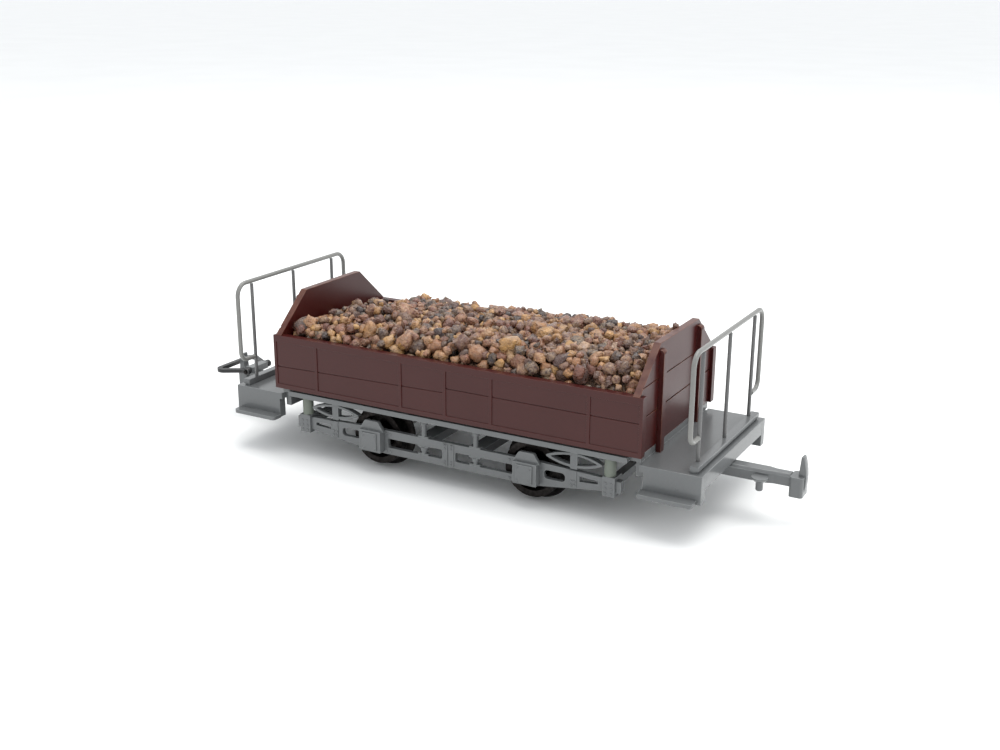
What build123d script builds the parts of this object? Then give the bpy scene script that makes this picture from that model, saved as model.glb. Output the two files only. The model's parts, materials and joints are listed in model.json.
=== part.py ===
"""Tramway ballast wagon in H0 (1:87): two axles, open gravel body, railed platform at each end."""

import os
from math import sqrt

from build123d import *

os.makedirs("parts", exist_ok=True)

# Frame: +X to the front platform, +Y to the left side, +Z up, in millimetres.
# The origin lies midway between the axles on the centre line, at the level of the rail tops.

# ---- Track and wheels ----
back_to_back = 14.4
wheel_width = 2.4
flange_width = 0.7
flange_depth = 0.75
tread_radius = 3.5
rim_width = 0.8
wheel_web = 1.0
wheelbase = 21.5
axle_radius = 0.75
bush_radius = 1.25
journal_radius = 0.5
journal_length = 1.3
running_clearance = 0.05
side_play = 0.25

# ---- Body ----
body_length = 50.1
body_width = 22.8
wheel_headroom = 0.35
side_height = 6.95
end_height = 11.7
end_top_half_width = 5.85
board_thickness = 1.05
floor_thickness = 1.0
panel_depth = 0.12
batten_width = 0.42
batten_places = (6.2, 18.6)
top_band = 0.85
bottom_band = 0.6
post_band = 0.4
groove_width = 0.14
groove_depth = 0.1
end_groove_rises = (4.25, 7.75)
plank_joint_rear_rise = 2.8
plank_joint_middle_rise = 3.35
plank_joint_front_rise = 3.9
stake_width = 1.0
stake_depth = 0.6
stake_place = 5.75
stake_gap = 0.7
end_board_thickness = 0.85
end_board_recess = 0.4

# ---- Load ----
weight_end_gap = 1.8
weight_side_gap = 1.15
weight_thickness = 1.8
load_board_thickness = 0.6
load_clearance = 0.05
load_edge_drop = 0.35
load_shoulder_rise = 1.35
load_crown_rise = 2.05
load_shoulder_inset = 2.2
load_crown_half_width = 4.5
load_rear_slope = 5.0
load_rear_drop = 2.9
load_front_slope = 3.0
load_front_drop = 1.2

# ---- Underframe ----
underframe_thickness = 0.8
wheel_slot_inset = 1.05
wheel_slot_margin = 0.4
sill_width = 0.75
sill_lap = 0.1
sill_height = 0.65
sill_gap = 0.3
sill_inset = 1.75
screw_radius = 0.7
screw_head_radius = 1.3
screw_head_height = 0.6
screw_clearance = 0.02
body_screw_inset = 7.05

# ---- Truck ----
frame_thickness = 0.65
chord_rise = 1.42
chord_drop = 1.65
window_rise = 0.4
window_drop = 0.78
centre_post_half_width = 0.9
window_end_wall = 2.05
window_corner = 0.25
arm_length = 7.8
arm_end_rise = 1.12
arm_end_drop = 0.45
round_hole_length = 2.7
round_hole_height = 1.05
round_hole_rise = 0.1
round_hole_corner = 0.44
round_hole_inset = 0.3
slot_inset = 4.8
slot_length = 2.3
slot_start_height = 0.66
slot_end_height = 0.36
slot_rise = 0.35
strap_inset = 4.05
strap_width = 0.8
strap_depth = 0.12
strap_drop = 0.85
strap_rise = 1.25
post_strap_width = 0.6
end_block_length = 1.5
end_block_rise = 1.45
end_block_drop = 0.9
end_block_depth = 2.0
end_block_proud = 0.35
end_step_length = 0.6
end_step_height = 1.4
box_half_width = 1.55
box_depth = 1.0
box_rise = 1.35
box_drop = 1.35
box_cap_rise = 2.5
box_cap_half_width = 1.75
box_cap_flat = 0.95
cap_depth = 0.55
cover_half_width = 1.05
cover_depth = 0.2
bearing_radius = 1.0
bearing_end_wall = 0.3
pad_radius = 0.68
pad_inset = 0.65
spring_half_length = 3.35
spring_rise = 0.72
spring_leaf = 0.3
spring_width = 0.8
spring_drop = 1.17
spring_buckle = 0.9
bolt_place = 3.6
bolt_radius = 0.33
bolt_nut_radius = 0.48
bolt_plate_length = 1.5
bolt_plate_thickness = 0.2
transom_width = 2.0
transom_height = 1.0
pillar_length = 2.0
pillar_place = 4.0
end_bar_height = 1.0

# ---- End platforms ----
deck_drop = 0.95
deck_thickness = 0.8
platform_length = 6.85
platform_inset = 0.6
skirt_thickness = 1.15
skirt_height = 3.3
beam_height = 1.8
beam_thickness = 0.9
inner_beam_height = 1.9
inner_beam_thickness = 0.75
inner_beam_inset = 0.9
tongue_length = 3.6
tongue_half_width = 6.0
tongue_screw_inset = 2.2
step_depth = 1.5
step_thickness = 0.5
step_overhang = 0.15
step_inset = 0.5
step_corner = 0.45

# ---- Railings ----
railing_inset = 1.4
post_inset = 2.3
post_radius = 0.24
rail_radius = 0.33
rail_rise = 13.55
rail_overhang = 0.5
rail_top_bend = 1.6
rail_low_bend = 1.15
rail_low_rise = 3.55
foot_width = 0.7
foot_height = 0.8
foot_inset = 1.0
foot_shift = 0.1
foot_rounding = 0.25

# ---- Couplers ----
drawbar_pivot_inset = 4.7
drawbar_drop = 1.9
drawbar_thickness = 1.45
drawbar_eye_radius = 1.5
drawbar_half_width = 1.0
drawbar_neck_half_width = 0.75
drawbar_wide_length = 8.7
drawbar_taper_length = 0.9
drawbar_neck_length = 1.8
drawbar_edge = 0.3
pivot_boss_radius = 1.25
pivot_gap = 0.06
trip_pin_inset = 0.45
trip_pin_offset = 1.65
trip_pin_rim_radius = 0.95
trip_pin_radius = 0.42
trip_pin_top_drop = 0.55
trip_pin_waist_drop = 1.25
trip_pin_drop = 2.2
head_length = 1.75
head_drop = 1.05
head_shoulder_drop = 0.1
head_rise = 2.2
head_fin_inset = 0.85
head_fin_lean = 0.2
head_fin_tip = 0.3
head_half_width = 1.15
head_fin_half_width = 0.5
loop_pivot_inset = 1.0
loop_rise = 0.4
loop_reach = 4.1
loop_front_half_width = 4.05
loop_back_half_width = 2.15
loop_bar = 0.7
loop_thickness = 0.55
loop_corner = 0.7
loop_pin_radius = 0.25
loop_eye_radius = 0.5
loop_block_length = 1.2
loop_block_half_width = 1.6

# ---- Values that follow from the sizes above ----
wheel_inner = back_to_back / 2
wheel_outer = wheel_inner + wheel_width
axle_height = tread_radius
axle_place = wheelbase / 2
flange_radius = tread_radius + flange_depth
frame_inner = wheel_outer + side_play
frame_outer = frame_inner + frame_thickness
journal_end = frame_inner + journal_length

body_half_length = body_length / 2
body_half_width = body_width / 2
end_face_place = body_half_length - end_board_recess
inside_half_length = end_face_place - end_board_thickness
inside_half_width = body_half_width - board_thickness
body_bottom = axle_height + flange_radius + wheel_headroom
side_top = body_bottom + side_height
end_top = body_bottom + end_height
floor_top = body_bottom + floor_thickness

underframe_bottom = body_bottom - underframe_thickness
underframe_half_width = frame_outer - sill_lap
sill_bottom = body_bottom - sill_gap - sill_height
sill_outer = underframe_half_width + sill_width
sill_half_length = body_half_length - sill_inset
body_screw_place = body_half_length - body_screw_inset

chord_top = axle_height + chord_rise
chord_bottom = axle_height - chord_drop
arm_start = axle_place + box_cap_half_width
arm_end = arm_start + arm_length
arm_end_top = axle_height + arm_end_rise
strap_place = arm_start + strap_inset
end_block_top = axle_height + end_block_rise
box_front = frame_outer + box_depth
box_bottom = axle_height - box_drop
box_top = axle_height + box_rise

deck_top = body_bottom - deck_drop
deck_bottom = deck_top - deck_thickness
platform_end = body_half_length + platform_length
platform_half_width = body_half_width - platform_inset
skirt_bottom = deck_top - skirt_height
skirt_inner = platform_half_width - skirt_thickness

railing_place = platform_end - railing_inset
post_place = platform_half_width - post_inset
rail_height = deck_top + rail_rise
rail_half_width = platform_half_width + rail_overhang
rail_low_height = deck_top + rail_low_rise

drawbar_pivot = platform_end - drawbar_pivot_inset
drawbar_top = deck_top - drawbar_drop
drawbar_bottom = drawbar_top - drawbar_thickness
drawbar_shoulder = drawbar_pivot + drawbar_wide_length
drawbar_neck_start = drawbar_shoulder + drawbar_taper_length
head_back = drawbar_neck_start + drawbar_neck_length
loop_pivot = head_back - loop_pivot_inset
loop_height = drawbar_top + loop_rise


def write(name, piece):
    """Label one finished piece and write its STEP file."""
    piece.label = name
    export_step(piece, f"parts/{name}.step")


def write_ends(name, piece):
    """Write a piece of the front end and its mirror image at the rear end."""
    write(f"{name}_front", piece)
    write(f"{name}_rear", mirror(piece, about=Plane.YZ))


def write_sides(name, piece):
    """Write a piece of the right side and its mirror image on the left side."""
    write(f"{name}_right", piece)
    write(f"{name}_left", mirror(piece, about=Plane.XZ))


# ======== Body: floor, side boards and end boards ========

with BuildPart() as wagon_floor:
    with BuildSketch(Plane.XY.offset(body_bottom)):
        Rectangle(2 * inside_half_length, 2 * inside_half_width)
        with GridLocations(2 * body_screw_place, 0, 2, 1):
            Circle(screw_radius + screw_clearance, mode=Mode.SUBTRACT)
    extrude(amount=floor_thickness)
write("wagon_floor", wagon_floor.part)

# A side board is one plate. Its panels lie back between a top band, a bottom band and the battens,
# with one plank joint that rises a little from the rear to the middle and sits higher in front.
side_face = Plane(origin=(0, -body_half_width, 0), x_dir=(1, 0, 0), z_dir=(0, -1, 0))
batten_centres = [-x for x in reversed(batten_places)] + [0] + list(batten_places)
panel_edges = [-body_half_length + post_band - batten_width / 2] + batten_centres
panel_edges += [body_half_length - post_band + batten_width / 2]
panel_bottom = body_bottom + bottom_band
panel_top = side_top - top_band
plank_joint_rear = body_bottom + plank_joint_rear_rise
plank_joint_middle = body_bottom + plank_joint_middle_rise
plank_joint_front = body_bottom + plank_joint_front_rise

with BuildPart() as side_board:
    with BuildSketch(side_face):
        with Locations((0, (body_bottom + side_top) / 2)):
            Rectangle(body_length, side_top - body_bottom)
    extrude(amount=-board_thickness)
    with BuildSketch(side_face):
        for start, end in zip(panel_edges, panel_edges[1:]):
            with Locations(((start + end) / 2, (panel_bottom + panel_top) / 2)):
                Rectangle(end - start - batten_width, panel_top - panel_bottom)
    extrude(amount=-panel_depth, mode=Mode.SUBTRACT)
    with BuildSketch(side_face.offset(-panel_depth)):
        for start, end in zip(panel_edges, panel_edges[1:]):
            left = start + batten_width / 2
            right = end - batten_width / 2
            low = high = plank_joint_front
            if end <= 0:
                rise = (plank_joint_middle - plank_joint_rear) / body_half_length
                low = plank_joint_middle + rise * left
                high = plank_joint_middle + rise * right
            with BuildLine():
                Polyline(
                    (left, low),
                    (right, high),
                    (right, high + groove_width),
                    (left, low + groove_width),
                    close=True,
                )
            make_face()
    extrude(amount=-groove_depth, mode=Mode.SUBTRACT)
write_sides("side_board", side_board.part)

# An end board stands between the side boards, spreads over their tops and narrows upwards
# to a flat top. Two stakes are moulded on its outer face.
end_face = Plane(origin=(end_face_place, 0, 0), x_dir=(0, 1, 0), z_dir=(1, 0, 0))
stake_top = end_top - stake_gap

with BuildPart() as end_board:
    with BuildSketch(end_face):
        with BuildLine():
            Polyline(
                (-inside_half_width, body_bottom),
                (inside_half_width, body_bottom),
                (inside_half_width, side_top),
                (body_half_width, side_top),
                (end_top_half_width, end_top),
                (-end_top_half_width, end_top),
                (-body_half_width, side_top),
                (-inside_half_width, side_top),
                close=True,
            )
        make_face()
    extrude(amount=-end_board_thickness)
    with BuildSketch(end_face):
        for rise in end_groove_rises:
            with Locations((0, body_bottom + rise)):
                Rectangle(body_width, groove_width)
    extrude(amount=-groove_depth, mode=Mode.SUBTRACT)
    with BuildSketch(end_face):
        with Locations((-stake_place, 0), (stake_place, 0)):
            with Locations((0, (deck_top + stake_top) / 2)):
                Rectangle(stake_width, stake_top - deck_top)
    extrude(amount=stake_depth)
    fillet(end_board.edges().filter_by(Axis.Y).group_by(Axis.X)[-1].group_by(Axis.Z)[-1], stake_depth * 0.8)
write_ends("end_board", end_board.part)

# ======== Load: steel weight, load board and gravel ========

weight_top = floor_top + weight_thickness
load_board_top = weight_top + load_board_thickness
load_crown_top = side_top + load_crown_rise
load_shoulder_top = side_top + load_shoulder_rise
load_edge_top = side_top - load_edge_drop
load_half_length = inside_half_length - load_clearance
load_half_width = inside_half_width - load_clearance

with BuildPart() as ballast_weight:
    with BuildSketch(Plane.XY.offset(floor_top)):
        Rectangle(2 * (inside_half_length - weight_end_gap), 2 * (inside_half_width - weight_side_gap))
        with GridLocations(2 * body_screw_place, 0, 2, 1):
            Circle(screw_head_radius, mode=Mode.SUBTRACT)
    extrude(amount=weight_thickness)
write("ballast_weight", ballast_weight.part)

with BuildPart() as load_board:
    with BuildSketch(Plane.XY.offset(weight_top)):
        Rectangle(2 * load_half_length, 2 * load_half_width)
    extrude(amount=load_board_thickness)
write("load_board", load_board.part)

# The heap is highest along the middle and falls off towards the rear end board.
with BuildPart() as gravel_load:
    with BuildSketch(Plane.YZ):
        with BuildLine():
            Polyline(
                (-load_half_width, load_board_top),
                (load_half_width, load_board_top),
                (load_half_width, load_edge_top),
                (load_half_width - load_shoulder_inset, load_shoulder_top),
                (load_crown_half_width, load_crown_top),
                (-load_crown_half_width, load_crown_top),
                (load_shoulder_inset - load_half_width, load_shoulder_top),
                (-load_half_width, load_edge_top),
                close=True,
            )
        make_face()
    extrude(amount=load_half_length, both=True)
    with BuildSketch(Plane.XZ):
        with BuildLine():
            Polyline(
                (-load_half_length, load_crown_top - load_rear_drop),
                (load_rear_slope - load_half_length, load_crown_top),
                (-load_half_length, load_crown_top),
                close=True,
            )
        make_face()
        with BuildLine():
            Polyline(
                (load_half_length, load_crown_top - load_front_drop),
                (load_half_length - load_front_slope, load_crown_top),
                (load_half_length, load_crown_top),
                close=True,
            )
        make_face()
    extrude(amount=body_width, both=True, mode=Mode.SUBTRACT)
write("gravel_load", gravel_load.part)

# ======== Underframe: plate, sills and screws ========

wheel_middle = wheel_inner + wheel_width / 2
wheel_slot_length = 2 * (flange_radius - wheel_slot_inset)

with BuildPart() as underframe_plate:
    with BuildSketch(Plane.XY.offset(underframe_bottom)):
        Rectangle(2 * end_face_place, 2 * underframe_half_width)
        with GridLocations(wheelbase, 2 * wheel_middle, 2, 2):
            Rectangle(wheel_slot_length, wheel_width + 2 * wheel_slot_margin, mode=Mode.SUBTRACT)
        with GridLocations(2 * body_screw_place, 0, 2, 1):
            Circle(screw_radius + screw_clearance, mode=Mode.SUBTRACT)
        with GridLocations(2 * (end_face_place - tongue_screw_inset), 0, 2, 1):
            Circle(screw_radius + screw_clearance, mode=Mode.SUBTRACT)
    extrude(amount=underframe_thickness)
write("underframe_plate", underframe_plate.part)

with BuildPart() as sill:
    with BuildSketch(Plane.XY.offset(sill_bottom)):
        with Locations((0, -(underframe_half_width + sill_outer) / 2)):
            Rectangle(2 * sill_half_length, sill_outer - underframe_half_width)
    extrude(amount=sill_height)
write_sides("sill", sill.part)

# Each body screw has its head under the plate and its thread up through plate and floor.
with BuildPart() as body_screws:
    with BuildSketch(Plane.XY.offset(underframe_bottom - screw_head_height)):
        with GridLocations(2 * body_screw_place, 0, 2, 1):
            Circle(screw_head_radius)
    extrude(amount=screw_head_height)
    with BuildSketch(Plane.XY.offset(underframe_bottom)):
        with GridLocations(2 * body_screw_place, 0, 2, 1):
            Circle(screw_radius)
    extrude(amount=underframe_thickness + floor_thickness)
write("body_screws", body_screws.part)

# ======== Truck: side frames, axle boxes, springs, pads, bolts and cross members ========

frame_face = Plane(origin=(0, -frame_outer, 0), x_dir=(1, 0, 0), z_dir=(0, -1, 0))
arm_middle_bottom = chord_bottom + 0.15
arm_end_bottom = axle_height - arm_end_drop
window_top = axle_height + window_rise
window_bottom = axle_height - window_drop
window_outer_end = axle_place - window_end_wall
round_hole_place = axle_height + round_hole_rise
slot_start = arm_start + slot_inset
slot_place = axle_height + slot_rise
strap_top = axle_height + strap_rise
strap_bottom = axle_height - strap_drop
end_block_bottom = axle_height - end_block_drop

# A side frame is a pressed plate: two windows beside the centre post, and outside each axle box
# an arm that narrows to the end block, with a round-ended hole and a tapered slot.
with BuildPart() as truck_frame:
    with BuildSketch(frame_face):
        with BuildLine():
            Polyline(
                (-arm_end, arm_end_top),
                (-arm_start, chord_top),
                (arm_start, chord_top),
                (arm_end, arm_end_top),
                (arm_end, arm_end_bottom),
                (arm_start, arm_middle_bottom),
                (axle_place - box_half_width, chord_bottom),
                (box_half_width - axle_place, chord_bottom),
                (-arm_start, arm_middle_bottom),
                (-arm_end, arm_end_bottom),
                close=True,
            )
        make_face()
        for side in (-1, 1):
            window_length = window_outer_end - centre_post_half_width
            window_height = window_top - window_bottom
            window_middle = side * (centre_post_half_width + window_length / 2)
            with Locations((window_middle, (window_top + window_bottom) / 2)):
                RectangleRounded(window_length, window_height, window_corner, mode=Mode.SUBTRACT)
            hole_middle = side * (arm_start + round_hole_inset + round_hole_length / 2)
            with Locations((hole_middle, round_hole_place)):
                RectangleRounded(round_hole_length, round_hole_height, round_hole_corner, mode=Mode.SUBTRACT)
            with BuildLine():
                Polyline(
                    (side * slot_start, slot_place - slot_start_height / 2),
                    (side * slot_start, slot_place + slot_start_height / 2),
                    (side * (slot_start + slot_length), slot_place + slot_end_height / 2),
                    (side * (slot_start + slot_length), slot_place - slot_end_height / 2),
                    close=True,
                )
            make_face(mode=Mode.SUBTRACT)
    extrude(amount=-frame_thickness)
    with BuildSketch(frame_face):
        for side in (-1, 1):
            with Locations((side * strap_place, (strap_top + strap_bottom) / 2)):
                Rectangle(strap_width, strap_top - strap_bottom)
            with Locations((side * centre_post_half_width / 2, (chord_top + chord_bottom) / 2)):
                Rectangle(post_strap_width, chord_top - chord_bottom - 0.3)
    extrude(amount=strap_depth)
    end_block_height = end_block_top - end_block_bottom
    end_block_middle = (end_block_top + end_block_bottom) / 2
    with BuildSketch(Plane.XZ.offset(frame_outer + end_block_proud)):
        with Locations((0, end_block_middle)):
            with GridLocations(2 * arm_end + end_block_length, 0, 2, 1):
                Rectangle(end_block_length, end_block_height)
    extrude(amount=-end_block_depth)
    with BuildSketch(Plane.XZ.offset(frame_outer)):
        with Locations((0, end_block_middle)):
            with GridLocations(2 * (arm_end + end_block_length) + end_step_length, 0, 2, 1):
                Rectangle(end_step_length, end_step_height)
    extrude(amount=-end_block_depth / 2)
    with BuildSketch(frame_face):
        with Locations((-axle_place, axle_height), (axle_place, axle_height)):
            Circle(bearing_radius)
    extrude(amount=-frame_thickness, mode=Mode.SUBTRACT)
write_sides("truck_frame", truck_frame.part)

# An axle box is a block on the outside of the frame with a domed cap and a thin cover plate.
box_face = Plane(origin=(0, -box_front, 0), x_dir=(1, 0, 0), z_dir=(0, -1, 0))
box_cap_top = axle_height + box_cap_rise
box_middle = (box_bottom + box_top) / 2

with BuildPart() as axle_boxes:
    with BuildSketch(frame_face):
        with Locations((-axle_place, box_middle), (axle_place, box_middle)):
            Rectangle(2 * box_half_width, box_top - box_bottom)
    extrude(amount=box_depth)
    with BuildSketch(frame_face):
        for centre in (-axle_place, axle_place):
            with BuildLine():
                Polyline(
                    (centre - box_cap_half_width, box_top - 0.1),
                    (centre + box_cap_half_width, box_top - 0.1),
                    (centre + box_cap_flat, box_cap_top),
                    (centre - box_cap_flat, box_cap_top),
                    close=True,
                )
            make_face()
    extrude(amount=cap_depth)
    fillet(axle_boxes.edges().filter_by(Axis.Y).group_by(Axis.Z)[-1], 0.35)
    with BuildSketch(box_face):
        with Locations((-axle_place, box_middle), (axle_place, box_middle)):
            Rectangle(2 * cover_half_width, box_top - box_bottom - 0.5)
    extrude(amount=cover_depth)
    with BuildSketch(frame_face):
        with Locations((-axle_place, axle_height), (axle_place, axle_height)):
            Circle(bearing_radius)
    extrude(amount=journal_end + bearing_end_wall - frame_outer, mode=Mode.SUBTRACT)
write_sides("axle_boxes", axle_boxes.part)

# A turned brass cup sits in the frame and the box and carries the axle journal.
cup_plane = Plane(origin=(0, -frame_inner, 0), x_dir=(1, 0, 0), z_dir=(0, -1, 0))
with BuildPart() as axle_cups:
    with BuildSketch(cup_plane):
        with Locations((-axle_place, axle_height), (axle_place, axle_height)):
            Circle(bearing_radius)
    extrude(amount=journal_length + bearing_end_wall)
    with BuildSketch(cup_plane):
        with Locations((-axle_place, axle_height), (axle_place, axle_height)):
            Circle(journal_radius + running_clearance)
    extrude(amount=journal_length + running_clearance, mode=Mode.SUBTRACT)
write_sides("axle_cups", axle_cups.part)

# An elliptic spring: two bowed leaves that meet at the tips, held by a buckle in the middle
# which reaches from the frame to the sill.
spring_plane = Plane.XZ.offset(frame_outer - spring_width)
spring_height = sill_bottom - spring_drop
with BuildPart() as leaf_springs:
    with BuildSketch(spring_plane):
        for side in (-1, 1):
            centre = side * strap_place
            for bow in (-1, 1):
                with BuildLine():
                    ThreePointArc(
                        (centre - spring_half_length, spring_height),
                        (centre, spring_height + bow * spring_rise),
                        (centre + spring_half_length, spring_height),
                    )
                    offset(amount=spring_leaf / 2)
                make_face()
            with Locations((centre, (chord_top + sill_bottom) / 2)):
                Rectangle(spring_buckle, sill_bottom - chord_top)
    extrude(amount=spring_width)
write_sides("leaf_springs", leaf_springs.part)

pad_place = arm_end + pad_inset

with BuildPart() as corner_pads:
    with BuildSketch(Plane.XY.offset(end_block_top)):
        with GridLocations(2 * pad_place, 0, 2, 1):
            with Locations((0, pad_radius / 2 - frame_outer)):
                Circle(pad_radius)
    extrude(amount=sill_bottom - end_block_top)
write_sides("corner_pads", corner_pads.part)

# Tie bolts: a long one between sill and upper chord and a short one in each window, with plates.
bolt_row = -(frame_inner + frame_thickness / 2)
with BuildPart() as tie_bolts:
    for low, high in ((window_bottom, window_top), (chord_top, sill_bottom)):
        with BuildSketch(Plane.XY.offset(low)):
            with GridLocations(2 * bolt_place, 0, 2, 1):
                with Locations((0, bolt_row)):
                    Circle(bolt_radius)
        extrude(amount=high - low)
        for plate in (low, high - bolt_plate_thickness):
            with BuildSketch(Plane.XY.offset(plate)):
                with GridLocations(2 * bolt_place, 0, 2, 1):
                    with Locations((0, bolt_row)):
                        Rectangle(bolt_plate_length, frame_thickness)
            extrude(amount=bolt_plate_thickness)
        with BuildSketch(Plane.XY.offset(high - 3 * bolt_plate_thickness)):
            with GridLocations(2 * bolt_place, 0, 2, 1):
                with Locations((0, bolt_row)):
                    Circle(bolt_nut_radius)
        extrude(amount=2 * bolt_plate_thickness)
write_sides("tie_bolts", tie_bolts.part)

# A transom joins the two side frames beside the middle and carries the underframe on two pillars.
with BuildPart() as truck_transom:
    with BuildSketch(Plane.XY.offset(chord_top - transom_height)):
        with Locations((bolt_place, 0)):
            Rectangle(transom_width, 2 * frame_inner)
    extrude(amount=transom_height)
    with BuildSketch(Plane.XY.offset(chord_top)):
        with Locations((bolt_place, -pillar_place), (bolt_place, pillar_place)):
            Rectangle(transom_width, pillar_length)
    extrude(amount=underframe_bottom - chord_top)
write_ends("truck_transom", truck_transom.part)

end_bar_top = arm_end_top - 0.2
end_bar_half_width = frame_outer + end_block_proud - end_block_depth
with BuildPart() as truck_end_bar:
    with BuildSketch(Plane.XY.offset(end_bar_top - end_bar_height)):
        with Locations((arm_end + end_block_length / 2, 0)):
            Rectangle(end_block_length * 0.7, 2 * end_bar_half_width)
    extrude(amount=end_bar_height)
write_ends("truck_end_bar", truck_end_bar.part)

# ======== Wheelsets ========

axle_line = Plane(origin=(axle_place, 0, axle_height), x_dir=(1, 0, 0), z_dir=(0, 1, 0))

with BuildPart() as axle:
    with BuildSketch(axle_line.offset(-wheel_outer)):
        Circle(axle_radius)
    extrude(amount=2 * wheel_outer)
    with BuildSketch(axle_line.offset(-journal_end)):
        Circle(journal_radius)
    extrude(amount=2 * journal_end)
write_ends("axle", axle.part)

# Wheel tyre and web in one turning; its profile runs along the axle from the flange back outwards.
with BuildPart() as wheels:
    with BuildSketch(Plane(origin=(axle_place, 0, axle_height), x_dir=(0, 1, 0), z_dir=(1, 0, 0))):
        with BuildLine():
            Polyline(
                (wheel_inner, bush_radius),
                (wheel_inner, flange_radius - 0.25),
                (wheel_inner + 0.3, flange_radius),
                (wheel_inner + flange_width, tread_radius + 0.08),
                (wheel_outer, tread_radius),
                (wheel_outer, tread_radius - rim_width),
                (wheel_inner + wheel_web, tread_radius - rim_width - 0.2),
                (wheel_inner + wheel_web, bush_radius + 0.5),
                (wheel_outer - 0.2, bush_radius + 0.35),
                (wheel_outer - 0.2, bush_radius),
                close=True,
            )
        make_face()
    revolve(axis=Axis((axle_place, 0, axle_height), (0, 1, 0)))
    mirror(about=Plane.XZ)
write_ends("wheels", wheels.part)

with BuildPart() as wheel_bushes:
    for side in (-1, 1):
        start = wheel_inner - 0.2 if side > 0 else -wheel_outer
        with BuildSketch(axle_line.offset(start)):
            Circle(bush_radius)
            Circle(axle_radius, mode=Mode.SUBTRACT)
        extrude(amount=wheel_width + 0.2)
write_ends("wheel_bushes", wheel_bushes.part)

# ======== End platforms ========

deck_start = end_face_place
beam_bottom = deck_top - beam_height
inner_beam_bottom = underframe_bottom - inner_beam_height
inner_beam_half_width = platform_half_width - inner_beam_inset

with BuildPart() as end_platform:
    with BuildSketch(Plane.XY.offset(deck_bottom)):
        with Locations(((deck_start + platform_end - beam_thickness) / 2, 0)):
            Rectangle(platform_end - beam_thickness - deck_start, 2 * platform_half_width)
    extrude(amount=deck_thickness)
    with BuildSketch(Plane.XY.offset(deck_bottom)):
        with Locations((deck_start - tongue_length / 2, 0)):
            Rectangle(tongue_length, 2 * tongue_half_width)
        with Locations((deck_start - tongue_screw_inset, 0)):
            Circle(screw_radius + screw_clearance, mode=Mode.SUBTRACT)
    extrude(amount=underframe_bottom - deck_bottom)
    with BuildSketch(Plane.XY.offset(skirt_bottom)):
        with GridLocations(0, platform_half_width + skirt_inner, 1, 2):
            with Locations(((body_half_length + platform_end) / 2, 0)):
                Rectangle(platform_end - body_half_length, skirt_thickness)
    extrude(amount=deck_top - skirt_bottom)
    with BuildSketch(Plane.XY.offset(inner_beam_bottom)):
        with Locations((deck_start - inner_beam_thickness / 2, 0)):
            Rectangle(inner_beam_thickness, 2 * inner_beam_half_width)
    extrude(amount=underframe_bottom - inner_beam_bottom)
    with BuildSketch(Plane.XY.offset(drawbar_top + pivot_gap)):
        with Locations((drawbar_pivot, 0)):
            Circle(pivot_boss_radius)
    extrude(amount=deck_bottom - drawbar_top - pivot_gap)
    with BuildSketch(Plane.XY.offset(drawbar_top + pivot_gap)):
        with Locations((drawbar_pivot, 0)):
            Circle(screw_radius + screw_clearance)
    extrude(amount=deck_bottom - drawbar_top - pivot_gap, mode=Mode.SUBTRACT)
write_ends("end_platform", end_platform.part)

with BuildPart() as end_beam:
    with BuildSketch(Plane.XY.offset(beam_bottom)):
        with Locations((platform_end - beam_thickness / 2, 0)):
            Rectangle(beam_thickness, 2 * skirt_inner)
    extrude(amount=deck_top - beam_bottom)
write_ends("end_beam", end_beam.part)

step_start = body_half_length - step_overhang
step_end = platform_end - step_inset

with BuildPart() as footsteps:
    with BuildSketch(Plane.XY.offset(skirt_bottom)):
        for side in (-1, 1):
            with Locations(((step_start + step_end) / 2, side * (platform_half_width + step_depth / 2))):
                Rectangle(step_end - step_start, step_depth)
    extrude(amount=step_thickness)
    upright = footsteps.edges().filter_by(Axis.Z).sort_by(Axis.Y)
    fillet(upright[:2] + upright[-2:], step_corner)
write_ends("footsteps", footsteps.part)

with BuildPart() as tongue_screw:
    with BuildSketch(Plane.XY.offset(deck_bottom - screw_head_height)):
        with Locations((deck_start - tongue_screw_inset, 0)):
            Circle(screw_head_radius)
    extrude(amount=screw_head_height)
    with BuildSketch(Plane.XY.offset(deck_bottom)):
        with Locations((deck_start - tongue_screw_inset, 0)):
            Circle(screw_radius)
    extrude(amount=body_bottom - deck_bottom)
write_ends("tongue_screw", tongue_screw.part)

# ======== Railings ========

foot_half_length = platform_half_width - foot_inset

with BuildPart() as railing_foot:
    with BuildSketch(Plane.XY.offset(deck_top)):
        with Locations((railing_place + foot_shift, 0)):
            Rectangle(foot_width, 2 * foot_half_length)
    extrude(amount=foot_height)
    fillet(railing_foot.faces().sort_by(Axis.Z)[-1].edges(), foot_rounding)
write_ends("railing_foot", railing_foot.part)

with BuildPart() as railing_posts:
    with BuildSketch(Plane.XY.offset(deck_top + foot_height)):
        with Locations((railing_place, -post_place), (railing_place, 0), (railing_place, post_place)):
            Circle(post_radius)
    extrude(amount=rail_height - rail_radius - deck_top - foot_height)
write_ends("railing_posts", railing_posts.part)

# The handrail is one bent wire: across the top, down at each side and back in to the outer posts.
with BuildPart() as handrail:
    with BuildLine(Plane(origin=(railing_place, 0, 0), x_dir=(0, 1, 0), z_dir=(1, 0, 0))) as rail_path:
        FilletPolyline(
            (post_place + post_radius, rail_low_height),
            (rail_half_width, rail_low_height),
            (rail_half_width, rail_height),
            (-rail_half_width, rail_height),
            (-rail_half_width, rail_low_height),
            (-post_place - post_radius, rail_low_height),
            radius=[rail_low_bend, rail_top_bend, rail_top_bend, rail_low_bend],
        )
    rail_start = (railing_place, post_place + post_radius, rail_low_height)
    with BuildSketch(Plane(origin=rail_start, z_dir=(0, 1, 0))):
        Circle(rail_radius)
    sweep()
write_ends("handrail", handrail.part)

# ======== Couplers ========

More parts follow.
